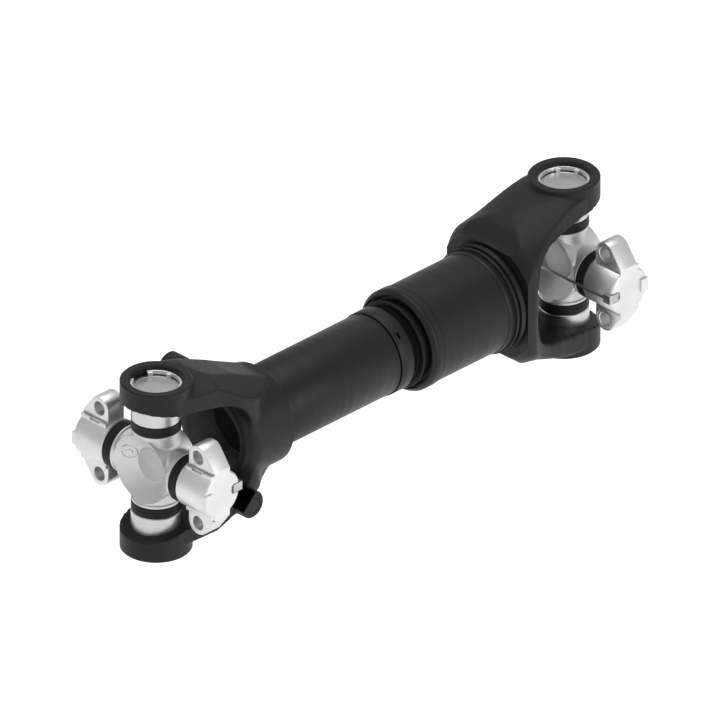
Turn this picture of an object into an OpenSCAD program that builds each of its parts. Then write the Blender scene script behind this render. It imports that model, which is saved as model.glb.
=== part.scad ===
// Universal joint shaft: two cross joints on a telescoping splined shaft.
// The shaft runs along X. Each fork holds its cross in two round bearings on Z,
// and each pair of wing bearings on Y bolts to a neighbour's flange.

/* [Shaft] */
// Distance between the two joint centres, as drawn
joint_span = 620; // [615:1:640]
// Radius of the shaft tube
tube_r = 47; // [45.5:0.1:47.5]
// Radius of the slip sleeve
sleeve_r = 57.5; // [56.5:0.1:58]
// Radius of the bore through hubs and tube
hub_bore_r = 41; // [39:0.5:41]
// Number of spline teeth
spline_teeth = 16; // [12:1:20]

/* [Forks] */
// Radius of each ear
ear_r = 39.5; // [38:0.5:41]
// Height of the ear's outer face above the shaft axis
ear_top = 103.5; // [103:0.5:106]
// Height of the ear's inner face above the shaft axis
ear_bottom = 72; // [70:0.5:74]
// Radius of the two side bosses on the drive fork
boss_r = 15.8; // [14:0.1:17]

/* [Bearings] */
// Outer radius of every bearing cup
cup_r = 27.5; // [27:0.1:28]
// Radius of the trunnions
trunnion_r = 19; // [18.5:0.05:19]
// Needles in each cup
needle_count = 42; // [36:1:42]

/* [Wing bearings] */
// Distance from the joint centre to a wing bearing's end face
wing_end = 100; // [99:0.5:102]
// Spacing of the bolt holes along Y
bolt_spacing_y = 150; // [148:1:152]
// Spacing of the bolt holes along Z
bolt_spacing_z = 81; // [80:0.5:84]
// Radius of the bolt holes
bolt_r = 7.9; // [7:0.1:8.5]

/* [Hidden] */

$fn = 64;
black = [0.13, 0.13, 0.14];
dark = [0.07, 0.07, 0.08];
bright = [0.85, 0.86, 0.88];
grey = [0.6, 0.61, 0.63];
copper = [0.72, 0.55, 0.3];

far = 200;                       // longer than anything that a cutter passes through
fit = 0.05;                      // radial running clearance
face_gap = 0.3;                  // gap between a rubber seal and the cross

// Stations along the shaft, measured from the left joint centre.
drive_hub_end = 154;
tube_end = 325.6;
collar_start = 326.8;
collar_end = 345;
neck_end = 369;
spline_end = 472;
seal_tip = 356.8;
seal_foot = 373;                 // where the wiper widens to fill the sleeve's mouth
sleeve_start = 369;
mouth_end = 382;
thread_end = 474;
sleeve_end = 486;
lock_r = 1.6;                    // the collar's lock hole, and half its straight length
lock_shift = 2.4;
lock_x = 334.3;
stub_spigot = 22;                // length of the stub that is pressed into the tube
weld_w = 5;
neck_r = 44;
spline_r = 42;
spline_root = 38;
seal_r = 50;
waist_r = 47.4;                  // the wiper behind its lip
mouth_r = 52;
cap_r = 58.7;
cap_mouth = 53.6;                // radius of the dust cap's opening

// Heights along a trunnion, measured from the joint centre.
shoulder = 44;
seal_top = 56.3;
needle_low = 59;
needle_high = 85;
trunnion_end = 85.5;
cup_floor = 87.5;
cup_top = 93.5;
ring_low = 94.4;                 // the snap ring's groove in the ear
ring_top = 98.9;
ring_r = cup_r - 2.4;            // inner edge of the snap ring
foot_r = cup_r - 4.5;            // inner edge of its feet
foot_top = 97.6;
foot_turns = [10, 60, 190, 250]; // where the feet stand, and how wide they are
foot_angle = 13;
ring_gap = 48;
needle_r = 1.47;
ear_edge = 1.2;                  // chamfer round an ear's outer face
lead_in = 2.8;                   // chamfer at the mouth of an ear's bore
groove_r = cup_r + 1.6;
cup_bore_r = trunnion_r + 2 * needle_r + 0.06;
shoulder_r = 27;
rim_r = 43.5;                    // edge of the dished faces of a cross
rim_x = 28;
dish_r = 20;
dish_x = 8.5;
core_r = 39.5;
core_w = 52;
grease_r = 3;

wing_front = -12;                // seat that meets the neighbour's flange
wing_back = 13;
wing_tip_r = 14;
strap_r = 1.6;
strap_x = cup_r + strap_r + fit;
hook_t = 2.2;
hook_w = 10;
hook_reach = 13;
hook_half = 1.5;                 // half the thickness of the hook's neck
hook_neck = 8;
hook_sink = 1.8;                 // how far the hook lies below the end face
pocket_depth = 2;
pocket_half = 6;
pocket_x = 14;
key_h = 2;                       // raised key on a wing bearing's end face
key_half = 7.5;
key_from = -26.4;
key_to = -16;

throat_rim = 86;                 // start of the collar round each hub's bore
throat_rim_r = 49;

// Places its children at one joint, with +X pointing from the joint into the shaft.
module at_joint(side) {
  translate([side * joint_span / 2, 0, 0])
    if (side < 0) children();
    else mirror([1, 0, 0]) children();
}

// Places its children at one joint, without a mirror image.
module shift_to(side) { translate([side * joint_span / 2, 0, 0]) children(); }

// Turns a piece that stands on +Z so that it hangs on -Z.
module lower() { mirror([0, 0, 1]) children(); }

// Turns a piece that stands on +Z so that it points along +Y or -Y.
module sideways(way) { rotate([way * -90, 0, 0]) children(); }

// A solid of revolution round the shaft axis: the outline gives [radius, station].
module round_shaft(outline) {
  rotate([0, 90, 0]) rotate_extrude($fn = 96) polygon(outline);
}

// A plain ring round the shaft axis.
module ring_shaft(inner, outer, from, to) {
  round_shaft([[inner, from], [outer, from], [outer, to], [inner, to]]);
}

// ---- forks ----

// The points of a half outline and their mirror image, as one closed outline.
function both_sides(half) = concat(half, [for (i = [len(half) - 1:-1:0]) [half[i][0], -half[i][1]]]);

// Inner outline of the fork's throat, seen from the side.
throat = [[-60, 83], [0, ear_bottom], [66, 62], [84, 52], [94, 36], [98, 16]];

// Two arms: the side view, the plan and a turned envelope meet in one forged shape.
module fork_arms(profile, plan, envelope) {
  intersection() {
    rotate([90, 0, 0]) linear_extrude(height = far, center = true) polygon(both_sides(profile));
    linear_extrude(height = 2 * far, center = true) polygon(both_sides(plan));
    round_shaft(concat([[0, envelope[0][1]]], envelope, [[0, envelope[len(envelope) - 1][1]]]));
  }
}

// Round ear with a small chamfer at its outer edge.
module ear() {
  rotate_extrude($fn = 96) polygon([[0, ear_bottom], [ear_r, ear_bottom], [ear_r, ear_top - ear_edge],
    [ear_r - ear_edge, ear_top], [0, ear_top]]);
}

// Arms and ears with the throat between them, the hub, the bores with a lead-in
// chamfer, and the grooves that hold the snap rings.
module fork(profile, plan, envelope) {
  difference() {
    union() {
      difference() {
        union() {
          fork_arms(profile, plan, envelope);
          ear();
          lower() ear();
        }
        rotate([90, 0, 0]) linear_extrude(height = far, center = true) polygon(both_sides(throat));
      }
      children();
    }
    cylinder(r = cup_r, h = 2 * far, center = true, $fn = 96);
    for (way = [0, 1]) mirror([0, 0, way]) {
      translate([0, 0, ear_top - lead_in]) cylinder(r1 = cup_r, r2 = cup_r + lead_in, h = lead_in, $fn = 96);
      translate([0, 0, ring_low]) cylinder(r = groove_r, h = ring_top - ring_low, $fn = 96);
    }
    translate([throat_rim - 20, 0, 0]) rotate([0, 90, 0]) cylinder(r = hub_bore_r, h = far);
  }
}

drive_profile = [[-ear_r, 101], [38, 101], [54, 96], [75, 88], [95, 80], [111, 72], [133, 62], [150, 54]];
drive_plan = [[-10, 38.2], [0, ear_r], [54, 46], [80, 52], [100, 52], [108, 49.5], [114, 45], [124, 38],
  [136, 32], [150, 27]];
drive_envelope = [[98, -45], [98, 54], [92, 75], [83, 95], [75, 111], [66, 133], [57.5, 150]];

// Side boss on the fork's flank, with a wrench flat that looks back at the ear.
module side_boss() {
  translate([83, -65, -61]) difference() {
    rotate([-90, 0, 0]) cylinder(r = boss_r, h = 24);
    rotate([0, 45, 0]) translate([-far - boss_r * 0.5, -1, -far / 2]) cube([far, 21, far]);
  }
}

module drive_fork() {
  color(black) at_joint(-1) fork(drive_profile, drive_plan, drive_envelope) {
    round_shaft([[0, throat_rim], [throat_rim_r, throat_rim], [55, 93], [58, 100], [58, drive_hub_end - 2],
      [56, drive_hub_end], [0, drive_hub_end]]);
    side_boss();
    rotate([180, 0, 0]) side_boss();
  }
}

hub_end = joint_span - sleeve_end;  // end of the sleeve fork, measured from its own joint
collar_groove = [127.3, 130.6];     // turned groove at the end of the sleeve fork's shoulders
flank_groove = [114, 117];          // turned groove that shows on its two flanks
sleeve_profile = [[-ear_r, 97], [38, 97], [60, 93], [80, 87.5], [96, 82], [104, 77.5], [112, 72.5], [127, 66]];
sleeve_plan = [[-10, 38.2], [0, ear_r], [38, 43], [67, 48], [88, 55], [111, 55], [116, 51], [127, 45]];
sleeve_envelope = [[99, -45], [99, 52], [95.5, 68], [91.5, 82], [87, 95], [82.5, 104], [78, 112], [70, 127]];

module sleeve_fork() {
  color(black) at_joint(1) fork(sleeve_profile, sleeve_plan, sleeve_envelope)
    round_shaft([[0, throat_rim], [throat_rim_r, throat_rim], [54, 93], [65, 106], [64.6, flank_groove[0]],
      [61.2, flank_groove[0]], [61.2, flank_groove[1]], [63.4, flank_groove[1]], [61.2, collar_groove[0]],
      [58.3, collar_groove[0]], [58.3, collar_groove[1]], [60.4, collar_groove[1]], [58.6, hub_end], [0, hub_end]]);
}

// ---- shaft ----

module shaft_tube() {
  color(black) translate([-joint_span / 2, 0, 0])
    ring_shaft(hub_bore_r, tube_r, drive_hub_end, tube_end);
}

// Fillet weld in the corner between the hub's end face and the tube.
module tube_weld() {
  color(black) translate([-joint_span / 2, 0, 0])
    round_shaft([[tube_r, drive_hub_end], [tube_r + weld_w, drive_hub_end], [tube_r, drive_hub_end + weld_w]]);
}

// Dished plug pressed into a hub's bore.
module plug(at) {
  round_shaft([[0, at], [hub_bore_r - 12, at], [hub_bore_r - 2, at - 4], [hub_bore_r, at - 4],
    [hub_bore_r, at], [hub_bore_r - 9, at + 4], [0, at + 4]]);
}

module throat_plug() { color(black) at_joint(-1) plug(132); }
module sleeve_plug() { color(black) at_joint(1) plug(126); }

// Straight-sided spline outline: a core with teeth trimmed to the outer radius.
module spline_outline(core, outer, tooth) {
  circle(r = core);
  intersection() {
    circle(r = outer);
    for (i = [0:spline_teeth - 1])
      rotate(i * 360 / spline_teeth) translate([0, -tooth / 2]) square([outer + 1, tooth]);
  }
}

tooth_w = PI * spline_root / spline_teeth;

module slip_stub() {
  color(dark) translate([-joint_span / 2, 0, 0]) difference() {
    union() {
      ring_shaft(0, hub_bore_r, tube_end - stub_spigot, tube_end);
      ring_shaft(0, neck_r, tube_end, neck_end);
      translate([neck_end, 0, 0]) rotate([0, 90, 0])
        linear_extrude(height = spline_end - neck_end) spline_outline(spline_root, spline_r, tooth_w);
    }
    ring_shaft(0, spline_root - 9, tube_end - stub_spigot - 1, spline_end + 1);
  }
}

// Collar pressed on the stub behind the tube, with one oblong lock hole.
module stub_collar() {
  color(black) translate([-joint_span / 2, 0, 0]) difference() {
    ring_shaft(neck_r, tube_r + 1.2, collar_start, collar_end);
    translate([lock_x, 0, 0]) rotate([45, 0, 0]) {
      for (shift = [-lock_shift, lock_shift]) translate([0, shift, 0]) cylinder(r = lock_r, h = far);
      translate([-lock_r, -lock_shift, 0]) cube([2 * lock_r, 2 * lock_shift, far]);
    }
  }
}

module slip_sleeve() {
  color(black) translate([-joint_span / 2, 0, 0]) difference() {
    ring_shaft(0, sleeve_r, sleeve_start, sleeve_end);
    ring_shaft(0, mouth_r, sleeve_start - 1, mouth_end);
    translate([mouth_end - 1, 0, 0]) rotate([0, 90, 0]) linear_extrude(height = thread_end - mouth_end + 2)
      spline_outline(spline_root + 0.15, spline_r + 0.15, tooth_w + 0.3);
    ring_shaft(0, neck_r + 1, thread_end, sleeve_end + 1);
  }
}

module sleeve_weld() {
  color(black) translate([-joint_span / 2, 0, 0])
    round_shaft([[sleeve_r, sleeve_end - 7], [sleeve_r + 1.2, sleeve_end - 5], [sleeve_r + 1.2, sleeve_end],
      [sleeve_r, sleeve_end]]);
}

// Rubber wiper in the sleeve's mouth: its lip rides on the stub's neck.
module mouth_seal() {
  color(dark) translate([-joint_span / 2, 0, 0])
    round_shaft([[neck_r + fit, seal_tip], [seal_r - 1, seal_tip], [seal_r, seal_tip + 1], [seal_r, seal_tip + 2],
      [waist_r, seal_tip + 4.5], [waist_r, seal_foot - 1], [mouth_r, seal_foot], [mouth_r, mouth_end - 3],
      [neck_r + 2, mouth_end - 3], [neck_r + 2, seal_tip + 8]]);
}

// Pressed steel cap over the sleeve's mouth.
module dust_cap() {
  color(black) translate([-joint_span / 2, 0, 0])
    round_shaft([[cap_mouth, sleeve_start - 3.4], [cap_mouth + 1.2, sleeve_start - 3.4], [cap_r, sleeve_start + 1],
      [cap_r, sleeve_start + 14], [sleeve_r, sleeve_start + 15.2], [sleeve_r, sleeve_start],
      [cap_mouth, sleeve_start]]);
}

// ---- crosses and their bearings ----

// Forged cross: four trunnions, their shoulders, and a dished face on each side.
module cross() {
  difference() {
    union() {
      for (turn = [0:90:270]) rotate([turn, 0, 0]) {
        translate([0, 0, shoulder - 4]) cylinder(r = trunnion_r, h = trunnion_end - shoulder + 4);
        translate([0, 0, shoulder_r + 1]) cylinder(r = shoulder_r, h = shoulder - shoulder_r - 1);
      }
      rotate([0, 90, 0]) cylinder(r = core_r, h = core_w, center = true);
    }
    for (way = [0, 1]) mirror([way, 0, 0])
      translate([dish_x, 0, 0]) rotate([0, 90, 0]) cylinder(r1 = dish_r, r2 = rim_r, h = rim_x - dish_x);
    for (turn = [0:90:270]) rotate([turn, 0, 0]) translate([0, 0, 2 * grease_r]) cylinder(r = grease_r, h = far);
  }
}

module round_cup() {
  color(bright) difference() {
    rotate_extrude($fn = 96) polygon([[0, seal_top], [cup_r - 1, seal_top], [cup_r, seal_top + 1],
      [cup_r, cup_top - 1.5], [cup_r - 1.5, cup_top], [0, cup_top]]);
    translate([0, 0, seal_top - 1]) cylinder(r = cup_bore_r, h = cup_floor - seal_top + 1);
  }
}

// Rubber seal between a cup's mouth and the cross's shoulder.
module trunnion_seal() {
  color(dark) rotate_extrude($fn = 96) polygon([[trunnion_r + fit, shoulder + 3],
    [cup_r - 2, shoulder + face_gap], [cup_r - 0.5, shoulder + face_gap + 1], [cup_r - 0.2, seal_top - 1],
    [cup_r - 1, seal_top], [trunnion_r + fit, seal_top]]);
}

module needles() {
  color(grey) for (i = [0:needle_count - 1]) rotate(i * 360 / needle_count)
    translate([trunnion_r + needle_r + 0.04, 0, needle_low])
      cylinder(r = needle_r, h = needle_high - needle_low, $fn = 16);
}

// Thrust washer between the trunnion's end and the cup's floor.
module washer() {
  color(copper) translate([0, 0, trunnion_end + fit]) difference() {
    cylinder(r = trunnion_r - 1, h = cup_floor - trunnion_end - 2 * fit);
    translate([0, 0, -1]) cylinder(r = 4, h = 4);
  }
}

// A flat ring with part of it missing: it starts at one angle and sweeps on from there.
module arc(inner, outer, start, sweep) {
  difference() {
    circle(r = outer, $fn = 96);
    circle(r = inner, $fn = 96);
    rotate(start + sweep) polygon(concat([[0, 0]],
      [for (i = [0:4]) [far * cos(i * (360 - sweep) / 4), far * sin(i * (360 - sweep) / 4)]]));
  }
}

// Split spring ring in the ear's groove, with feet that hold the cup down.
module snap_ring(gap_at) {
  color(bright) {
    translate([0, 0, ring_low]) linear_extrude(height = ring_top - ring_low - 0.1)
      arc(ring_r, groove_r - 0.1, gap_at + ring_gap, 360 - ring_gap);
    for (turn = foot_turns) translate([0, 0, cup_top]) linear_extrude(height = foot_top - cup_top)
      arc(foot_r, cup_r - 0.2, turn - foot_angle / 2, foot_angle);
  }
}

// Cup and two bolting wings in one forging, pointing along +Y, seat on -X, with a raised
// key on the end face and a pocket for the strap's hook.
module wing_bearing() {
  y = bolt_spacing_y / 2;
  z = bolt_spacing_z / 2;
  corner = wing_tip_r * cos(45);
  color(bright) difference() {
    union() {
      sideways(1) translate([0, 0, seal_top]) cylinder(r = cup_r, h = wing_end - seal_top, $fn = 96);
      translate([wing_back, 0, 0]) rotate([0, -90, 0]) linear_extrude(height = wing_back - wing_front)
        union() {
          for (way = [-1, 1]) translate([way * z, y]) circle(r = wing_tip_r);
          polygon([for (p = both_sides([[y - wing_tip_r, z], [y, z], [y + corner, z + corner],
            [wing_end, cup_r + 2]])) [p[1], p[0]]]);
        }
      translate([key_from, wing_end - 1, -key_half]) cube([key_to - key_from, key_h + 1, 2 * key_half]);
    }
    sideways(1) translate([0, 0, seal_top - 1]) cylinder(r = cup_bore_r, h = cup_floor - seal_top + 1);
    for (way = [-1, 1]) translate([-far / 2, y, way * z]) rotate([0, 90, 0]) cylinder(r = bolt_r, h = far);
    translate([pocket_x, wing_end - pocket_depth, -pocket_half]) cube([far, far, 2 * pocket_half]);
  }
}

// Wire that ties the two wing bearings, with a flattened hook in each end face's pocket.
module strap() {
  color(grey) {
    translate([strap_x, 0, 0]) rotate([90, 0, 0]) cylinder(r = strap_r, h = 2 * wing_end, center = true, $fn = 24);
    for (way = [0, 1]) mirror([0, way, 0]) {
      translate([strap_x - hook_half, wing_end - hook_sink - hook_neck, -hook_w / 2])
        cube([2 * hook_half, hook_neck, hook_w]);
      translate([strap_x + hook_half - hook_reach, wing_end - hook_sink, -hook_w / 2])
        cube([hook_reach, hook_t, hook_w]);
    }
  }
}

// ---- the assembly: one line for each piece ----

drive_fork();
shaft_tube();
tube_weld();
throat_plug();
slip_stub();
stub_collar();
sleeve_fork();
slip_sleeve();
sleeve_weld();
sleeve_plug();
mouth_seal();
dust_cap();
color(bright) at_joint(-1) cross();  // left_cross
color(bright) at_joint(1) cross();  // right_cross
at_joint(-1) round_cup();  // left_upper_cup
at_joint(-1) lower() round_cup();  // left_lower_cup
at_joint(1) round_cup();  // right_upper_cup
at_joint(1) lower() round_cup();  // right_lower_cup
shift_to(-1) snap_ring(67);  // left_upper_ring
shift_to(-1) lower() snap_ring(67);  // left_lower_ring
shift_to(1) snap_ring(200);  // right_upper_ring
shift_to(1) lower() snap_ring(200);  // right_lower_ring
at_joint(-1) trunnion_seal();  // left_upper_seal
at_joint(-1) lower() trunnion_seal();  // left_lower_seal
at_joint(1) trunnion_seal();  // right_upper_seal
at_joint(1) lower() trunnion_seal();  // right_lower_seal
at_joint(-1) needles();  // left_upper_needles
at_joint(-1) lower() needles();  // left_lower_needles
at_joint(1) needles();  // right_upper_needles
at_joint(1) lower() needles();  // right_lower_needles
at_joint(-1) washer();  // left_upper_washer
at_joint(-1) lower() washer();  // left_lower_washer
at_joint(1) washer();  // right_upper_washer
at_joint(1) lower() washer();  // right_lower_washer
at_joint(-1) mirror([0, 1, 0]) wing_bearing();  // left_near_wing
at_joint(-1) wing_bearing();  // left_far_wing
at_joint(1) mirror([0, 1, 0]) wing_bearing();  // right_near_wing
at_joint(1) wing_bearing();  // right_far_wing
at_joint(-1) sideways(-1) trunnion_seal();  // left_near_seal
at_joint(-1) sideways(1) trunnion_seal();  // left_far_seal
at_joint(1) sideways(-1) trunnion_seal();  // right_near_seal
at_joint(1) sideways(1) trunnion_seal();  // right_far_seal
at_joint(-1) sideways(-1) needles();  // left_near_needles
at_joint(-1) sideways(1) needles();  // left_far_needles
at_joint(1) sideways(-1) needles();  // right_near_needles
at_joint(1) sideways(1) needles();  // right_far_needles
at_joint(-1) sideways(-1) washer();  // left_near_washer
at_joint(-1) sideways(1) washer();  // left_far_washer
at_joint(1) sideways(-1) washer();  // right_near_washer
at_joint(1) sideways(1) washer();  // right_far_washer
at_joint(-1) strap();  // left_strap
at_joint(1) strap();  // right_strap
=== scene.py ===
import math
import bmesh
import bpy
from mathutils import Matrix, Vector


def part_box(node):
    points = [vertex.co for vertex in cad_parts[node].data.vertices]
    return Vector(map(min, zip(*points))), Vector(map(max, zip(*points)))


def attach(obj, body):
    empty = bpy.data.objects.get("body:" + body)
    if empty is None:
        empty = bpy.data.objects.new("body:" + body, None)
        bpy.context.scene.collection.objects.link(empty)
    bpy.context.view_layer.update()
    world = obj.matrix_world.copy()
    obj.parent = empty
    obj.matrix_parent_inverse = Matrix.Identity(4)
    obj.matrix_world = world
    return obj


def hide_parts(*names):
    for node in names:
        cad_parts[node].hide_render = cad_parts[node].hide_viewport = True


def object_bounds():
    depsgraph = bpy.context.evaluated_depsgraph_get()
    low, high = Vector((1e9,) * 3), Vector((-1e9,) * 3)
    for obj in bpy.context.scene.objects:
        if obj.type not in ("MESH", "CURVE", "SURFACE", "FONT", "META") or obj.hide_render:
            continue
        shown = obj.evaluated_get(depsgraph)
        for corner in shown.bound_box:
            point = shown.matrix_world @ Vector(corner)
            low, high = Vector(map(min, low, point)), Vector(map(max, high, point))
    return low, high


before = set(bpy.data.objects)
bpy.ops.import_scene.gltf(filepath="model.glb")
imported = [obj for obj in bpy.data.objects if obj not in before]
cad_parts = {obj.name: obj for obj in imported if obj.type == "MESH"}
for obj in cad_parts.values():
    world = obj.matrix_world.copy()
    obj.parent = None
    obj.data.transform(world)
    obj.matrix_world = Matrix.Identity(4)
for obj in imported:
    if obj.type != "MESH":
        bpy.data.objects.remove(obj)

cad_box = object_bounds()

# ---- Drive fork ----
# A steel yoke, hot forged in one piece with its hub and two side bosses. The ears, their
# bores and the hub's end are machined afterwards, and the whole is painted satin black.

mm = 0.001
same_spot = 0.004 * mm
crease = math.radians(30)
joint = {side: sum(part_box(side + "_upper_cup"), Vector()).x / 2 for side in ("left", "right")}
ear_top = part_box("drive_fork")[1].z / mm


def turned(outline, steps=96, ease=0.0, ring=False, sweep=360):
    """A half outline of (radius, height) in millimetres, with eased corners, spun round +Z."""
    bm = bmesh.new()
    corners = [bm.verts.new((r * mm, 0, h * mm)) for r, h in outline]
    for pair in zip(corners, corners[1:]):
        bm.edges.new(pair)
    if ring:
        bm.edges.new((corners[-1], corners[0]))
    if ease:
        soft = [v for v in corners if len(v.link_edges) == 2]
        bmesh.ops.bevel(bm, geom=soft, offset=ease * mm, offset_type="OFFSET", affect="VERTICES",
                        segments=2, profile=0.5, material=-1, clamp_overlap=True)
    bmesh.ops.spin(bm, geom=bm.verts[:] + bm.edges[:], cent=(0, 0, 0), axis=(0, 0, 1),
                   angle=math.radians(sweep), steps=steps, use_merge=sweep == 360, use_duplicate=False)
    bmesh.ops.remove_doubles(bm, verts=bm.verts, dist=same_spot)
    if sweep < 360:
        bmesh.ops.holes_fill(bm, edges=bm.edges, sides=0)
    bmesh.ops.recalc_face_normals(bm, faces=bm.faces)
    if bm.calc_volume(signed=True) < 0:
        bmesh.ops.reverse_faces(bm, faces=bm.faces)
    return bm


def slab(outline, low, high, flat="XZ"):
    """A closed outline in millimetres on one plane, pulled out from low to high square to it."""
    bm = bmesh.new()
    across, up = (Vector([float(letter == axis) for letter in "XYZ"]) for axis in flat)
    pull = Vector([float(letter not in flat) for letter in "XYZ"])
    face = bm.faces.new([bm.verts.new((across * a + up * b + pull * low) * mm) for a, b in outline])
    pulled = bmesh.ops.extrude_face_region(bm, geom=[face])
    bmesh.ops.translate(bm, verts=[v for v in pulled["geom"] if isinstance(v, bmesh.types.BMVert)],
                        vec=pull * (high - low) * mm)
    bmesh.ops.recalc_face_normals(bm, faces=bm.faces)
    return bm


def both(half):
    """A half outline and its mirror image as one closed outline."""
    return half + [(a, -b) for a, b in reversed(half)]


def turn(bm, degrees, axis="X", at=(0, 0, 0)):
    """Turn a shape round an axis through the origin, then move it by so many millimetres."""
    bmesh.ops.rotate(bm, verts=bm.verts, cent=(0, 0, 0),
                     matrix=Matrix.Rotation(math.radians(degrees), 3, axis))
    bmesh.ops.translate(bm, verts=bm.verts, vec=Vector(at) * mm)
    return bm


def along_x(outline, **how):
    """A turned piece whose axis is the shaft's: the outline gives (radius, station)."""
    return turn(turned(outline, **how), 90, "Y")


def piece(name, *parts):
    """One object from one or more bmeshes."""
    mesh = bpy.data.meshes.new(name)
    whole = bmesh.new()
    for part in parts:
        part.to_mesh(mesh)
        whole.from_mesh(mesh)
        part.free()
    whole.to_mesh(mesh)
    whole.free()
    made = bpy.data.objects.new(name, mesh)
    bpy.context.scene.collection.objects.link(made)
    return made


def taken(made):
    """The mesh of a piece as a bmesh again; the piece itself goes."""
    bm = bmesh.new()
    bm.from_mesh(made.data)
    bpy.data.objects.remove(made)
    return bm


def settle(made):
    """Apply every modifier."""
    shown = made.evaluated_get(bpy.context.evaluated_depsgraph_get())
    shape = bpy.data.meshes.new_from_object(shown)
    made.modifiers.clear()
    made.data = shape


def cut(made, *tools, how="DIFFERENCE"):
    """Machine one solid with others, one after another."""
    for bm in tools:
        tool = piece("tool", bm)
        step = made.modifiers.new("cut", "BOOLEAN")
        step.operation, step.object, step.solver = how, tool, "EXACT"
        settle(made)
        bpy.data.objects.remove(tool)
    return made


def forge(made, grain, passes):
    """Melt overlapping solids into one skin of a given grain, with the soft fillets of a forging."""
    skin = made.modifiers.new("skin", "REMESH")
    skin.mode, skin.voxel_size = "VOXEL", grain * mm
    flow = made.modifiers.new("flow", "SMOOTH")
    flow.factor, flow.iterations = 0.5, passes
    settle(made)
    return made


def true_up(made, axis, radius, span, slack):
    """Machine a forged skin true to a cylinder round one axis, between two heights along it."""
    along = {"X": 0, "Y": 1, "Z": 2}[axis]
    for v in made.data.vertices:
        height = v.co[along]
        if span[0] * mm < height < span[1] * mm:
            rest = v.co.copy()
            rest[along] = 0
            off = rest.length / mm - radius
            if abs(off) < slack:
                rest.length -= off * mm * min(1, 2 - 2 * abs(off) / slack)
                rest[along] = height
                v.co = rest


def crisp(made):
    """Smooth shading that breaks at every edge sharper than a crease."""
    bm = bmesh.new()
    bm.from_mesh(made.data)
    for face in bm.faces:
        face.smooth = True
    for edge in bm.edges:
        edge.smooth = len(edge.link_faces) == 2 and edge.calc_face_angle(0) < crease
    bm.to_mesh(made.data)
    bm.free()


def seat(made, side="left", flip=""):
    """Move a piece from the joint's own frame to its place; X flips the right joint's pieces."""
    place = Matrix.Translation((joint[side], 0, 0))
    for axis in flip:
        place = place @ Matrix.Scale(-1, 4, {"X": (1, 0, 0), "Y": (0, 1, 0), "Z": (0, 0, 1)}[axis])
    made.data.transform(place)
    if place.determinant() < 0:
        made.data.flip_normals()


def fit(made, body, slot, material, *nodes):
    """Give a piece its finish, its body and the CAD nodes that it stands for."""
    crisp(made)
    made.data.materials.clear()
    made.data.materials.append(material)
    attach(made, body)
    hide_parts(*nodes)


noise_span, gloss_spread = (0.3, 0.7), 0.15


def finish(name, color, metal, rough, grain, mottle, axis=None, specular=0.24):
    """A finish with a mottled colour, and a fine grain that varies the gloss and bumps the surface.

    grain and mottle give (scale per metre, strength); axis draws the grain into rings round it.
    """
    made = bpy.data.materials.new(name)
    made.use_nodes = True
    nodes, links = made.node_tree.nodes, made.node_tree.links
    shader = nodes["Principled BSDF"]
    shader.inputs["Metallic"].default_value = metal
    shader.inputs["Specular IOR Level"].default_value = specular
    place = nodes.new("ShaderNodeTexCoord")
    cloud = nodes.new("ShaderNodeTexNoise")
    cloud.inputs["Scale"].default_value = mottle[0]
    cloud.inputs["Detail"].default_value = 5
    links.new(place.outputs["Object"], cloud.inputs["Vector"])
    tint = nodes.new("ShaderNodeValToRGB")
    for i, shade in enumerate((1 - mottle[1], 1 + mottle[1])):
        tint.color_ramp.elements[i].color = (*(min(1, c * shade) for c in color), 1)
        tint.color_ramp.elements[i].position = noise_span[i]
    links.new(cloud.outputs["Fac"], tint.inputs["Fac"])
    links.new(tint.outputs["Color"], shader.inputs["Base Color"])
    fine = nodes.new("ShaderNodeTexNoise")
    fine.inputs["Scale"].default_value = grain[0]
    fine.inputs["Detail"].default_value = 3
    stretch = nodes.new("ShaderNodeMapping")
    if axis:
        stretch.inputs["Scale"].default_value = [1.0 if a == axis else 0.02 for a in "XYZ"]
    links.new(place.outputs["Object"], stretch.inputs["Vector"])
    links.new(stretch.outputs["Vector"], fine.inputs["Vector"])
    gloss = nodes.new("ShaderNodeMapRange")
    gloss.inputs["From Min"].default_value = noise_span[0]
    gloss.inputs["From Max"].default_value = noise_span[1]
    gloss.inputs["To Min"].default_value = rough * (1 - gloss_spread)
    gloss.inputs["To Max"].default_value = rough * (1 + gloss_spread)
    links.new(fine.outputs["Fac"], gloss.inputs["Value"])
    links.new(gloss.outputs["Result"], shader.inputs["Roughness"])
    bump = nodes.new("ShaderNodeBump")
    bump.inputs["Strength"].default_value = grain[1]
    bump.inputs["Distance"].default_value = 1 * mm
    links.new(fine.outputs["Fac"], bump.inputs["Height"])
    links.new(bump.outputs["Normal"], shader.inputs["Normal"])
    return made


forged_paint = finish("forged_paint", (0.0068, 0.0068, 0.0072), 0.0, 0.5, grain=(420, 0.10),
                      mottle=(18, 0.16))

ear_r, bore_r, hub_bore_r, hub_face_r = 39.5, 27.5, 41.0, 56
half_stock, clear_r, beyond = 80, 90, 130
mouth_r, groove_r, groove_low, groove_top = bore_r + 1.1, bore_r + 1.6, 94.4, 98.9
throat = [(-60, 84), (0, 72), (40, 66.5), (66, 61.5), (80, 54), (90, 42), (96, 24), (98, 10)]


def ear_tools():
    """What is machined off both ears: the flat crowns, then the bores with their snap-ring grooves."""
    edge, clear = 1.5, 12
    crown = [(0, ear_top), (ear_r + 0.2 - edge, ear_top), (ear_r + 0.2, ear_top - edge),
             (ear_r + clear, ear_top - edge), (ear_r + clear, ear_top + clear), (0, ear_top + clear)]
    bore = both([(0, beyond), (mouth_r + 1.8, beyond), (mouth_r + 1.8, ear_top), (mouth_r, ear_top - 1.8),
                 (mouth_r, groove_top), (groove_r, groove_top), (groove_r, groove_low),
                 (bore_r, groove_low)])
    return turned(bore), turned(crown), turn(turned(crown), 180)


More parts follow.
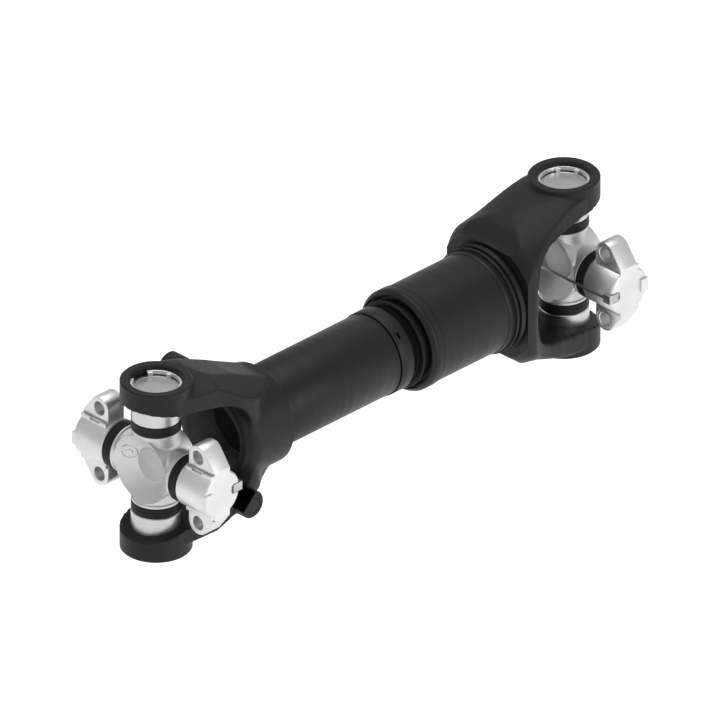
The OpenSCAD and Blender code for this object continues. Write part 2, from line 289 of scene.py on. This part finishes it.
def hub_tools(hub_end):
    """What is machined off a hub: its end face with a broken edge, then its bore."""
    edge, clear = 2.4, 20
    end = [(0, hub_end), (hub_face_r, hub_end), (hub_face_r + edge, hub_end - edge),
           (clear_r, hub_end - edge), (clear_r, hub_end + clear), (0, hub_end + clear)]
    return along_x(end), along_x([(0, 60), (hub_bore_r, 60), (hub_bore_r, 200), (0, 200)])


def fork(name, profile, plan, envelope, hub, hub_end, passes=9, panels=(), blanks=(), bosses=(),
         machining=()):
    """Ears, arms and hub in the joint's frame, forged and then machined.

    profile is the half outline seen along Y and plan the one seen along Z; envelope gives the
    (radius, station) of the round that limits the arms.
    """
    arms = cut(piece(name, slab(both(profile), -half_stock, half_stock)),
               slab(both(plan), -beyond, beyond, "XY"),
               along_x([(0, envelope[0][1])] + envelope + [(0, envelope[-1][1])]), how="INTERSECT")
    cut(arms, *panels)
    ear = [(0, 60), (ear_r, 60), (ear_r, ear_top + 4), (0, ear_top + 4)]
    for way in (0, 180):
        cut(arms, turn(turned(ear), way), how="UNION")
    cut(arms, slab(both(throat), -clear_r, clear_r))
    arms = forge(piece(name, taken(arms), along_x(hub), *blanks), 1.7, passes)
    true_up(arms, "Z", ear_r, (-120, 120), 0.9)
    cut(arms, *bosses, how="UNION")
    cut(arms, *ear_tools(), *hub_tools(hub_end), *machining)
    return arms


def bare(made, material, inside):
    """Give another finish to the faces whose middle, in the joint's frame, passes a test."""
    made.data.materials.append(material)
    for face in made.data.polygons:
        if inside(face.center / mm, face.normal):
            face.material_index = len(made.data.materials) - 1


def facet(points, way, rise):
    """A block to cut away, with its underside through three points of the joint's frame."""
    corners = [Vector((x, y * way, z * rise)) * mm for x, y, z in points]
    middle = sum(corners, Vector()) / 3
    normal = (corners[1] - corners[0]).cross(corners[2] - corners[0]).normalized()
    if normal.z * rise < 0:
        normal.negate()
    reach = 70
    bm = slab([(-reach, -reach), (reach, -reach), (reach, reach), (-reach, reach)], 0, 60, "XY")
    bmesh.ops.rotate(bm, verts=bm.verts, cent=(0, 0, 0),
                     matrix=normal.to_track_quat("Z", "Y").to_matrix())
    bmesh.ops.translate(bm, verts=bm.verts, vec=middle)
    return bm


drive_hub_end = 154
drive_hub = [(0, 86.5), (49, 86.5), (55, 93), (58, 101), (58, 158), (0, 158)]
boss_x, boss_y, boss_z, boss_r, boss_face, root_y = 83, 65, 61, 15.8, 4, 60
boss = [(0, -16), (boss_r, -16), (boss_r, 2.6), (boss_r - 1.4, boss_face), (10.6, boss_face), (9.9, 3.4),
        (8.6, 3.4), (7.9, boss_face), (0, boss_face)]
boss_root = [(0, 0), (15.6, 0), (15.6, 20), (0, 20)]
roots = [turn(turned(boss_root), way * -90, at=(boss_x, way * -root_y, way * -boss_z)) for way in (1, -1)]
bosses = [turn(turned(boss, steps=64), way * 90, at=(boss_x, way * (boss_face - boss_y), way * -boss_z))
          for way in (1, -1)]
flat_off, flat_out, flat_half, cos_45 = 7.9, 22, 13, 0.7071
flat = [(boss_x + cos_45 * (t - n), cos_45 * (t + n) - boss_z)
        for n, t in ((flat_off, -flat_half), (flat_off, flat_half), (flat_out, flat_half),
                     (flat_out, -flat_half))]
flats = [turn(slab(flat, -70, -45), half_turn) for half_turn in (0, 180)]
drive = fork("drive_fork_forging",
             [(-ear_r, 101), (38, 101), (54, 96), (75, 88), (95, 80), (111, 72), (133, 62), (150, 54)],
             [(-10, 38.2), (0, ear_r), (54, 46), (80, 52), (100, 52), (108, 49.5), (114, 45), (124, 38),
              (136, 32), (150, 27)],
             [(98, -45), (98, 54), (92, 75), (83, 95), (75, 111), (66, 133), (58.5, 150)],
             drive_hub, drive_hub_end,
             panels=[facet([(84, -20.6, 85.7), (150, -17.4, 55.5), (108, -48, 57)], way, rise)
                     for way in (1, -1) for rise in (1, -1)],
             blanks=roots, bosses=bosses, machining=flats)
seat(drive)
fit(drive, "drive_shaft", "forged_paint", forged_paint, "drive_fork")
# Bare steel for the walls of the hub bores. It is partly the bore's own machined finish and partly painted
# light: it is made light enough to stand in for light reaching deep into the throat.
bore_steel_painted_light = finish("bore_steel_painted_light", (0.45, 0.45, 0.46), 0.85, 0.42, grain=(900, 0.05), mottle=(40, 0.15),
                    axis="X")


def in_hub_bore(at, facing):
    """Whether a face lies on the wall of a hub's bore."""
    return math.hypot(at.y, at.z) < hub_bore_r + 0.5 and abs(facing.x) < 0.3 and abs(at.y) + abs(at.z) > 38


# Painted light: the bore walls inside the drive fork's throat take the light bare steel.
bare(drive, bore_steel_painted_light, in_hub_bore)

# ---- Tube, weld and plug ----
# A drawn steel tube, spigoted into the hub and welded round its end with a small even fillet.
# A pressed dished plug closes the hub's bore behind the cross. All painted with the fork.
tube_r, tube_from, tube_to = 47.0, drive_hub_end, 325.6
tube_paint = finish("tube_paint", (0.0058, 0.0058, 0.0062), 0.0, 0.46, grain=(160, 0.03), mottle=(9, 0.12),
                    axis="X")
tube = piece("tube", along_x([(hub_bore_r, tube_from), (tube_r, tube_from), (tube_r, tube_to),
                              (hub_bore_r, tube_to)], ring=True, ease=0.5, steps=128))
seat(tube)
fit(tube, "drive_shaft", "tube_paint", tube_paint, "shaft_tube")

weld = piece("tube_fillet_weld", along_x([(tube_r, tube_from), (50.6, tube_from), (49.4, tube_from + 0.9),
                                          (48.4, tube_from + 1.9), (47.7, tube_from + 3.2),
                                          (tube_r, tube_from + 5)], ring=True, steps=128))
seat(weld)
fit(weld, "drive_shaft", "tube_paint", tube_paint, "tube_weld")


def plug(name, at, side, body, node, flip=""):
    """A dished plug at one station of a hub's bore."""
    made = piece(name, along_x([(0, at), (29, at), (31, at - 0.6), (38.4, at - 3.8), (hub_bore_r, at - 4),
                                (hub_bore_r, at), (32, at + 4), (0, at + 4)], ease=0.4))
    seat(made, side, flip)
    fit(made, body, "tube_paint", tube_paint, node)


plug("drive_hub_plug", 132, "left", "drive_shaft", "throat_plug")

# ---- Splined stub and its collar ----
# A turned steel stub, pressed into the tube's end: a neck with a shallow relief, then sixteen
# straight teeth that slide in the sleeve. The collar on its neck is locked through an oblong hole.
neck_r, relief, stub_from, stub_bore_r = 44.0, 2.2, 303.6, 29
collar_from, collar_to, collar_r = 326.8, 345, 48.2
spline_from, spline_to, teeth, root_r, crest_r = 369, 472, 16, 38.0, 42.0
# Painted shade: the stub's paint is near black, with little gloss, so that its neck between the collar and
# the seal reads as a gap in shadow.
stub_paint_painted_shade = finish("stub_paint_painted_shade", (0.0028, 0.0028, 0.003), 0.0, 0.42, grain=(260, 0.05), mottle=(40, 0.2),
                    axis="X", specular=0.08)
stub = piece("splined_stub", along_x([
    (stub_bore_r, stub_from), (hub_bore_r, stub_from), (hub_bore_r, tube_to), (neck_r, tube_to),
    (neck_r, collar_to), (neck_r - relief, collar_to + 0.6), (neck_r - relief, 355), (neck_r, 357),
    (neck_r, spline_from - 1), (neck_r - 1, spline_from), (root_r, spline_from), (root_r, spline_to),
    (stub_bore_r, spline_to)], ring=True))


def spline(half, crest, start, end):
    """All the teeth of a spline, as separate bars round the shaft."""
    bars = []
    for i in range(teeth):
        bar = slab([(-half, root_r - 2), (half, root_r - 2), (half, crest - 0.7), (half - 0.6, crest - 0.1),
                    (0, crest), (0.6 - half, crest - 0.1), (-half, crest - 0.7)], start, end, "YZ")
        bars.append(turn(bar, i * 360 / teeth))
    return taken(piece("teeth", *bars))


tooth_half = math.pi * root_r / teeth / 2
cut(stub, spline(tooth_half, crest_r, spline_from - 4, spline_to), how="UNION")
seat(stub)
fit(stub, "drive_shaft", "stub_steel", stub_paint_painted_shade, "slip_stub")

lock_x, lock_r, lock_shift = 334.3, 1.6, 2.4
lock = [(lock_x + lock_r * math.cos(a), lock_r * math.sin(a) + (lock_shift if a < math.pi else -lock_shift))
        for a in (math.radians(15 * i) for i in range(24))]
collar = piece("stub_collar_ring", along_x([(neck_r, collar_from), (collar_r, collar_from),
                                            (collar_r, collar_to), (neck_r, collar_to)],
                                           ring=True, ease=0.6, steps=128))
cut(collar, turn(slab(lock, 30, 60, "XY"), 45))
seat(collar)
fit(collar, "drive_shaft", "tube_paint", tube_paint, "stub_collar")

# ---- Sleeve fork ----
# The second forged yoke, heavier at its shoulders, with no side bosses. Behind the shoulders its
# hub is turned all round, with a ring between two grooves, and it is welded to the slip sleeve.
sleeve_hub_end, shoulder_end, flank_y = 134, 116.2, 61.9
sleeve_hub = [(0, 86), (49, 86), (54, 93), (63.5, 105), (64, 125), (62, 128), (61, 136), (0, 136)]
turned_end = along_x([(59.8, shoulder_end), (clear_r, shoulder_end), (clear_r, 140), (60.6, 140),
                      (61, 128.8), (59.4, 128.8), (59.4, 125.7), (62.2, 125.6), (62.4, 120.5), (59.8, 120.5)],
                     ring=True, steps=128)
flank_flats = [slab([(75, way * flank_y), (130, way * flank_y), (130, way * clear_r), (75, way * clear_r)],
                    -half_stock, half_stock, "XY") for way in (1, -1)]
sleeve_forging = fork("sleeve_fork_forging",
                      [(-ear_r, 97), (38, 97), (60, 93), (80, 87.5), (96, 79.5), (104, 73), (110, 67.5),
                       (117, 62.5), (126, 60)],
                      [(-10, 38.2), (0, ear_r), (38, 43), (67, 48), (86, 53), (103, 62), (124, 63.5)],
                      [(102, -45), (102, 24), (99.5, 38), (96, 51), (91.5, 66), (87, 80), (84.3, 93),
                       (82.5, 104), (78, 111), (71, 117), (66, 126)],
                      sleeve_hub, sleeve_hub_end, passes=12, machining=[turned_end] + flank_flats)
seat(sleeve_forging, "right", "X")
fit(sleeve_forging, "sleeve_shaft", "forged_paint", forged_paint, "sleeve_fork")
# Painted light: the bore walls inside the sleeve fork's throat take the light bare steel.
bare(sleeve_forging, bore_steel_painted_light, in_hub_bore)
plug("sleeve_hub_plug", 126, "right", "sleeve_shaft", "sleeve_plug", "X")

# ---- Slip sleeve ----
# A thick steel tube, broached inside to fit the stub's teeth and turned outside. It is welded
# to the sleeve fork, and the bead is dressed down to a low step.
sleeve_r, sleeve_from, sleeve_to, end_bore_r, slack = 57.5, 369, 486, 45, 0.15
seal_seat_r, seal_seat_to, broach_to = 52, 382, 474
sleeve = piece("sleeve", along_x([(seal_seat_r, sleeve_from), (sleeve_r, sleeve_from), (sleeve_r, sleeve_to),
                                  (end_bore_r, sleeve_to), (end_bore_r, broach_to),
                                  (root_r + slack, broach_to), (root_r + slack, seal_seat_to),
                                  (seal_seat_r, seal_seat_to)], ring=True, steps=128))
cut(sleeve, spline(tooth_half + slack, crest_r + slack, seal_seat_to - 1, broach_to + 1))
seat(sleeve)
fit(sleeve, "sleeve_shaft", "tube_paint", tube_paint, "slip_sleeve")
bead_r = 58.7
bead = piece("sleeve_bead", along_x([(sleeve_r, 479), (58.1, 479.4), (bead_r, 480.6), (bead_r, 483.4),
                                     (58.1, 484), (58.1, 484.6), (bead_r, 485.2), (58.5, sleeve_to),
                                     (sleeve_r, sleeve_to)], ring=True, steps=128))
seat(bead)
fit(bead, "sleeve_shaft", "tube_paint", tube_paint, "sleeve_weld")

# ---- Mouth seal and dust cap ----
# A moulded rubber wiper in the sleeve's mouth, with a lip that rides on the stub's neck, and
# a pressed steel cap over it, rolled down on to the sleeve.
seal_rubber = finish("seal_rubber", (0.004, 0.004, 0.0045), 0.0, 0.55, grain=(1100, 0.05),
                     mottle=(60, 0.2))
wiper = piece("mouth_wiper", along_x([(44.05, 357.6), (45, 356.8), (49.2, 356.8), (50, 357.6), (50, 358.8),
                                      (48.6, 359.8), (47.4, 361.3), (47.4, 371.5), (51, 372.5),
                                      (seal_seat_r, 373.5), (seal_seat_r, 379), (46, 379), (46, 364.5)],
                                     ring=True, steps=128))
seat(wiper)
fit(wiper, "sleeve_shaft", "seal_rubber", seal_rubber, "mouth_seal")
cap_r, cap_mouth_r, cap_groove_r = 58.7, 53.6, 58.25
cap = piece("rolled_dust_cap", along_x([
    (cap_mouth_r, 366.4), (54, 365.7), (54.6, 365.6), (55.1, 366.0), (58.2, 369.3), (cap_r, 370.4),
    (cap_r, 372.7), (cap_groove_r, 373.1), (cap_r, 373.5), (cap_r, 381.6), (cap_groove_r, 382),
    (cap_r, 382.4), (cap_r, 383), (58.3, 383.8), (sleeve_r, 384.2), (sleeve_r, sleeve_from),
    (cap_mouth_r, sleeve_from)], ring=True, steps=128))
seat(cap)
fit(cap, "sleeve_shaft", "tube_paint", tube_paint, "dust_cap")

# ---- Crosses ----
# A drop-forged steel cross, shot clean: a waisted core, dished on both faces, with a turned
# collar and a ground trunnion on each of its four arms, and a round pad in its outer dish.
cross_steel = finish("cross_steel", (0.60, 0.60, 0.605), 1.0, 0.52, grain=(520, 0.10), mottle=(26, 0.07))


def like(pattern, name):
    """A second piece of the same pattern."""
    twin = pattern.copy()
    twin.data = pattern.data.copy()
    twin.name = twin.data.name = name
    bpy.context.scene.collection.objects.link(twin)
    return twin


quarters = (0, 90, 180, 270)
core_half = [(37.6, 0), (38, 10), (39.4, 21), (39.8, 29), (0, 29)]
core = [(r, -x) for r, x in reversed(core_half[1:])] + core_half
shoulder = [(0, 18), (25.6, 18), (25.6, 38), (0, 38)]
cross = piece("cross", along_x(core), *(turn(turned(shoulder), quarter) for quarter in quarters))
forge(cross, 1.3, 10)
trunnion_r, trunnion_end = 19, 85.5
arm = [(0, 33), (25.5, 33), (25.5, 40.4), (26.4, 40.7), (27, 41.3), (27, 43.5), (26.5, 44), (trunnion_r, 44),
       (trunnion_r, trunnion_end - 0.5), (trunnion_r - 0.5, trunnion_end), (0, trunnion_end)]
cut(cross, *(turn(turned(arm), quarter) for quarter in quarters), how="UNION")
dish = [(0, 8.5), (19.2, 8.5), (19.6, 8.0), (20.2, 8.1), (26, 12.6), (32, 17), (38, 22), (44.5, 29),
        (44.5, 40), (0, 40)]
cut(cross, along_x(dish), along_x([(r, -x) for r, x in dish]))
pad_lean, pad_side, pad_spot = -50.4, 106.6, (-13.9, 27, 8)
pad = turn(turned([(0, 1.9), (3.6, 1.9), (4.4, 1.1), (7, 1.1), (7.8, 1.9), (8.8, 1.9), (9.6, 1.2), (9.6, -4),
                   (0, -4)]), pad_lean, "Y")
cut(cross, turn(pad, pad_side, at=pad_spot), how="UNION")
milled_steel = finish("milled_steel", (0.42, 0.42, 0.425), 1.0, 0.5, grain=(900, 0.05), mottle=(60, 0.05))
for side, flip in (("left", ""), ("right", "X")):
    made = like(cross, side + "_forged_cross")
    seat(made, side, flip)
    fit(made, side + "_spider", "cross_steel", cross_steel, side + "_cross")
    bare(made, milled_steel, lambda at, facing: abs(facing.x) > 0.98 and math.hypot(at.y, at.z) < 19.5)
bpy.data.objects.remove(cross)

# ---- Round bearing cups ----
# Deep-drawn, hardened and ground steel cups that are pressed into the ears over the
# trunnions: a bright band shows below each ear, and a flat crown inside its bore.
cup_steel = finish("cup_steel", (0.52, 0.52, 0.525), 1.0, 0.32, grain=(1500, 0.012), mottle=(30, 0.05),
                   axis="Z")
cup_bore_r, cup_floor, cup_mouth = 22.0, 87.5, 56.3
cup = piece("cup", turned([(0, 93.1), (22.4, 93.1), (22.9, 93.5), (bore_r - 1.1, 93.5), (bore_r, 92.4),
                           (bore_r, 57.2), (26.8, cup_mouth), (cup_bore_r, cup_mouth),
                           (cup_bore_r, cup_floor),
                           (0, cup_floor)], steps=128))
in_ears = [(side, body, name, flip, side + "_" + name)
           for side, body, hand in (("left", "drive_shaft", ""), ("right", "sleeve_shaft", "X"))
           for name, flip in (("upper", hand), ("lower", hand + "Z"))]
for side, body, name, flip, label in in_ears:
    made = like(cup, label + "_bearing_cup")
    seat(made, side, flip)
    fit(made, body, "cup_steel", cup_steel, label + "_cup")
bpy.data.objects.remove(cup)

# ---- Snap rings ----
# Split spring-steel rings sprung into a groove above each cup, with bent-down feet that
# bear on the cup's crown. Each joint's rings are turned as they happened to be fitted.
ring_steel = finish("ring_steel", (0.75, 0.75, 0.75), 1.0, 0.32, grain=(1200, 0.05), mottle=(60, 0.12))
band = [(25.4, 94.5), (28.9, 94.5), (28.9, 98.8), (25.4, 98.8)]
foot = [(23.1, 93.5), (27.2, 93.5), (27.2, 98.0), (23.1, 98.0)]
ring_open, foot_sweep, feet, split_at = 48, 13, (10, 60, 190, 250), {"left": 67, "right": 200}
for side, body, name, flip, label in in_ears:
    arcs = [turn(turned(band, ring=True, ease=0.35, sweep=360 - ring_open, steps=90),
                 split_at[side] + ring_open, "Z")]
    arcs += [turn(turned(foot, ring=True, ease=0.5, sweep=foot_sweep, steps=5), at - foot_sweep / 2, "Z")
             for at in feet]
    made = piece(label + "_snap_ring", arcs[0])
    cut(made, *arcs[1:], how="UNION")
    seat(made, side, flip.replace("X", ""))
    fit(made, body, "spring_steel", ring_steel, label + "_ring")

# ---- Trunnion seals ----
# Moulded rubber seals pressed on each cup's mouth, with one fine groove round them and a lip
# that runs against the cross's collar.
seal_bore_r, seal_r = 19.05, 27.4
seal = piece("seal", turned([(seal_bore_r, 47), (25.6, 44.4), (26.8, 44.6), (seal_r, 45.3), (seal_r, 48.6),
                             (27.05, 49), (seal_r, 49.4), (seal_r, 55.2), (26.6, cup_mouth),
                             (seal_bore_r, cup_mouth)], ring=True))
on_wings = [(side, side + "_wings", name, flip, side + "_" + name)
            for side, hand in (("left", ""), ("right", "X"))
            for name, flip in (("far", hand), ("near", hand + "Y"))]
for side, body, name, flip, label in in_ears + on_wings:
    made = like(seal, label + "_trunnion_seal")
    if name in ("far", "near"):
        made.data.transform(Matrix.Rotation(math.radians(-90), 4, "X"))
    seat(made, side, flip)
    fit(made, body, "seal_rubber", seal_rubber, label + "_seal")
bpy.data.objects.remove(seal)

# ---- Needles and thrust washers ----
# Full sets of ground rollers between trunnion and cup, and a bronze washer on each
# trunnion's end. They keep their machined shapes and take a bearing finish.
needle_steel = finish("needle_steel", (0.74, 0.74, 0.76), 1.0, 0.14, grain=(2400, 0.02), mottle=(80, 0.05))
washer_bronze = finish("washer_bronze", (0.55, 0.36, 0.17), 1.0, 0.35, grain=(1300, 0.06), mottle=(120, 0.15))
for label in [row[-1] for row in in_ears + on_wings]:
    for kind, material in (("_needles", needle_steel), ("_washer", washer_bronze)):
        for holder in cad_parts[label + kind].material_slots:
            holder.material = material

# ---- Wing bearings ----
# A cup and two drilled wings in one steel forging. The seats, the driving key between them,
# the round barrel and the end face are machined; the slanted flanks keep the forged skin.
wing_steel = finish("wing_steel", (0.64, 0.64, 0.645), 1.0, 0.42, grain=(600, 0.08), mottle=(34, 0.06))
seat_x, back_x, end_y, hole_y, hole_z, hole_r, tip_r = -12, 13, 100, 75, 40.5, 7.9, 14
flat_z, key_z, key_x, key_y, barrel_r = 29.5, 27.3, -16, 61, 27.6


def eased(bm, width, low_x=None):
    """Bevel the edges that lie square to X, or only those of them at one station along it."""
    chosen = [e for e in bm.edges if abs(e.verts[0].co.x - e.verts[1].co.x) < 0.01 * mm
              and (low_x is None or abs(e.verts[0].co.x - low_x * mm) < 0.01 * mm)]
    bmesh.ops.bevel(bm, geom=chosen, offset=width * mm, offset_type="OFFSET", affect="EDGES", segments=2,
                    profile=0.5, material=-1, clamp_overlap=True)
    return bm


tip = [(hole_y + tip_r * math.cos(math.radians(a)), hole_z + tip_r * math.sin(math.radians(a)))
       for a in range(45, 181, 9)]
wing = piece("wing", eased(slab(both([(end_y, flat_z)] + tip), seat_x, back_x, "YZ"), 1.5))
barrel = [(0, 57), (22.6, cup_mouth), (26.6, cup_mouth), (barrel_r, 57.3), (barrel_r, 97.4), (27.2, 98.2),
          (25.6, 99.8), (25, end_y), (0, end_y)]
key = [(end_y - 0.6, key_z), (key_y, key_z), (key_y, -key_z), (end_y - 0.6, -key_z)]
end_lug = [(-26.4, 7.5), (key_x, 7.5), (key_x, -7.5), (-26.4, -7.5)]
cut(wing, turn(turned(barrel, steps=128), -90), eased(slab(key, key_x, 2, "YZ"), 0.7, key_x),
    slab(end_lug, 96, 102), how="UNION")
spot_r, groove_out = 8.8, end_y + 2
bolt = [(0, -20), (spot_r, -20), (spot_r, seat_x), (hole_r, seat_x + 0.9), (hole_r, back_x - 0.9),
        (spot_r, back_x), (spot_r, 30), (0, 30)]
spot_ring = [(10.5, back_x - 1.3), (12.2, back_x - 1.3), (12.2, 30), (10.5, 30)]
grooves = [slab([(58, z), (58, z + 2.2), (groove_out, z + 2.2), (groove_out, z)], -14, -10.6, "YZ")
           for z in (key_z, -flat_z)]
pocket = slab(both([(40, 6), (18, 6), (15.6, 4.9), (14.3, 2.6)]), end_y - 2.2, 110)
key_slot = slab([(70, 24.6), (85, 24.6), (85, key_z + 1), (70, key_z + 1)], -20, -13.6, "YZ")
cup_bore = turn(turned([(0, 50), (cup_bore_r, 50), (cup_bore_r, cup_floor), (0, cup_floor)]), -90)
cut(wing, *grooves, key_slot, pocket, cup_bore,
    *(turn(turned(shape, steps=48, ring=shape is spot_ring), 90, "Y", (0, hole_y, z))
      for z in (hole_z, -hole_z) for shape in (bolt, spot_ring)))
for side, body, name, flip, label in on_wings:
    made = like(wing, label + "_wing_bearing")
    seat(made, side, flip)
    fit(made, body, "wing_steel", wing_steel, label + "_wing")
bpy.data.objects.remove(wing)

# ---- Straps ----
# A hard-drawn wire on the shaft side ties each pair of wing bearings, with its ends flattened
# and hooked into the pockets of their end faces.
wire_steel = finish("wire_steel", (0.42, 0.42, 0.425), 1.0, 0.34, grain=(1400, 0.06), mottle=(70, 0.2))
wire_x, wire_r, wire_end, hook_end, hook_half = 29.15, 1.6, 96, 100.4, 1.5
wire = [(0, -wire_end), (wire_r, -wire_end), (wire_r, wire_end), (0, wire_end)]
hook = [(wire_x - hook_half, 90.2), (wire_x + hook_half, 90.2), (wire_x + hook_half, hook_end),
        (wire_x - 11.5, hook_end), (wire_x - 11.5, 98.2), (wire_x - hook_half, 98.2)]
strap = piece("strap", turn(turned(wire, steps=24), -90, at=(wire_x, 0, 0)))
cut(strap, *(slab([(x, way * y) for x, y in hook], -5, 5, "XY") for way in (1, -1)), how="UNION")
for side, flip in (("left", ""), ("right", "X")):
    made = like(strap, side + "_tie_strap")
    seat(made, side, flip)
    fit(made, side + "_wings", "spring_steel", wire_steel, side + "_strap")
bpy.data.objects.remove(strap)

# ---- Studio ----
# A pale floor well below the shaft, a wide light on the near side, a weak one off the left end
# and a soft one above, and a parallel camera that looks down on the near left end.
low, high = cad_box
floor_bm = bmesh.new()
bmesh.ops.create_grid(floor_bm, x_segments=1, y_segments=1, size=12)
bmesh.ops.translate(floor_bm, verts=floor_bm.verts, vec=(0, 0, low.z - 0.35))
floor = piece("floor", floor_bm)
pale = bpy.data.materials.new("floor_pale")
pale.use_nodes = True
for entry, value in (("Base Color", (0.92, 0.92, 0.92, 1)), ("Roughness", 0.9),
                     ("Emission Color", (1, 1, 1, 1)), ("Emission Strength", 0.3)):
    pale.node_tree.nodes["Principled BSDF"].inputs[entry].default_value = value
floor.data.materials.append(pale)

world = bpy.data.worlds.new("studio")
bpy.context.scene.world = world
world.use_nodes = True
world.node_tree.nodes["Background"].inputs["Color"].default_value = (1, 1, 1, 1)
world.node_tree.nodes["Background"].inputs["Strength"].default_value = 0.66


def light(name, size, watts, spot, aim=(0, 0, 0)):
    """A round area light at a spot, turned towards its aim."""
    data = bpy.data.lights.new(name, "AREA")
    data.shape, data.size, data.energy = "DISK", size, watts
    lamp = bpy.data.objects.new(name, data)
    bpy.context.scene.collection.objects.link(lamp)
    lamp.location = spot
    lamp.rotation_euler = (Vector(aim) - Vector(spot)).to_track_quat("-Z", "Y").to_euler()


light("key", 1.6, 28, (0.5, -2.7, 0.7))
light("end_fill", 3.0, 5, (-2.6, -0.9, 0.3), (-0.25, 0, 0))
light("overhead", 3.0, 50, (0.4, 0.4, 3.2))

camera = bpy.data.objects.new("camera", bpy.data.cameras.new("camera"))
bpy.context.scene.collection.objects.link(camera)
camera.data.type = "ORTHO"
view_width, elevation, azimuth = 774.19, math.radians(30), math.radians(-135)
camera.data.ortho_scale = view_width * mm
look = Vector((math.cos(elevation) * math.cos(azimuth), math.cos(elevation) * math.sin(azimuth),
               math.sin(elevation)))
camera.location = (low + high) / 2 + look * 2
camera.rotation_euler = look.to_track_quat("Z", "Y").to_euler()
bpy.context.scene.camera = camera
bpy.context.scene.view_settings.view_transform = "Standard"
